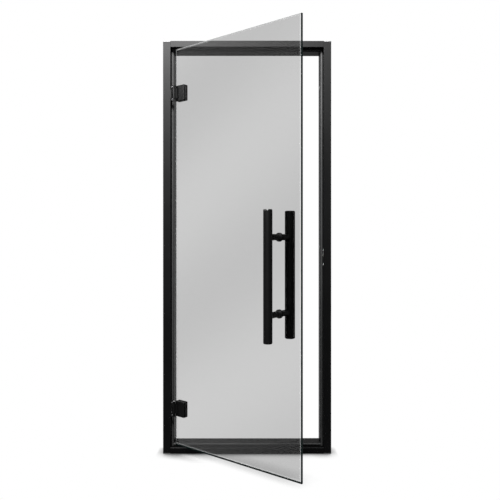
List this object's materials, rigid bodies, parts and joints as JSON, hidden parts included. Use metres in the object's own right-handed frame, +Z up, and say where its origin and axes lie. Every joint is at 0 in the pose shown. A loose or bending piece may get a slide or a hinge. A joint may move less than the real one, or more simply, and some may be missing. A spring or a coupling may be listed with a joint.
{
  "type": "sauna door",
  "caption": "Clear glass sauna door leaf on clamp hinges in a black rebated aluminium frame, with a bar handle on both sides and a roller catch.",
  "frame": {"origin": "middle of the threshold's underside, midway between the frame's front and back faces", "axes": "+Z up, +X from the hinge side to the latch side, +Y from the side the leaf opens to, through the doorway"},
  "size_m": [0.77, 0.5095, 1.89],
  "materials": {
    "frame_black": "satin black powder coat",
    "hinge_black": "satin black coated zinc alloy",
    "pin_steel": "ground stainless steel",
    "seal_rubber": "matte black",
    "cap_plastic": "fine grained black",
    "glass_clear": "toughened, lightly grey",
    "outer_bar_black": "satin black coated steel tube",
    "inner_bar_black": "black stained and oiled",
    "roller_plastic": "light grey nylon"
  },
  "bodies": {
    "frame": {"hinge_jamb": "frame_black", "latch_jamb": "frame_black", "head_rail": "frame_black", "threshold": "frame_black", "hinge_jamb_end_caps": "cap_plastic", "latch_jamb_end_caps": "cap_plastic", "hinge_jamb_screw_caps": "cap_plastic", "latch_jamb_screw_caps": "cap_plastic", "hinge_side_seal": "seal_rubber", "latch_side_seal": "seal_rubber", "head_seal": "seal_rubber", "threshold_seal": "seal_rubber", "catch_plate": "hinge_black", "catch_roller": "roller_plastic", "hinge_brackets": "hinge_black", "hinge_pins": "pin_steel"},
    "leaf": {"glass_leaf": "glass_clear", "outer_handle_bar": "outer_bar_black", "outer_handle_end_plugs": "outer_bar_black", "inner_handle_bar": "inner_bar_black", "outer_handle_posts": "outer_bar_black", "inner_handle_posts": "outer_bar_black", "handle_washers": "seal_rubber", "handle_studs": "pin_steel", "hinge_outer_clamps": "hinge_black", "hinge_inner_clamps": "hinge_black", "hinge_pads": "seal_rubber", "hinge_bolts": "pin_steel"}
  },
  "joints": [
    {"name": "leaf_swing", "type": "hinge", "parent": "frame", "child": "leaf", "pos_m": [-0.334, -0.053, 0.945], "axis": [0, 0, -1], "range_deg": [-38, 72]}
  ]
}
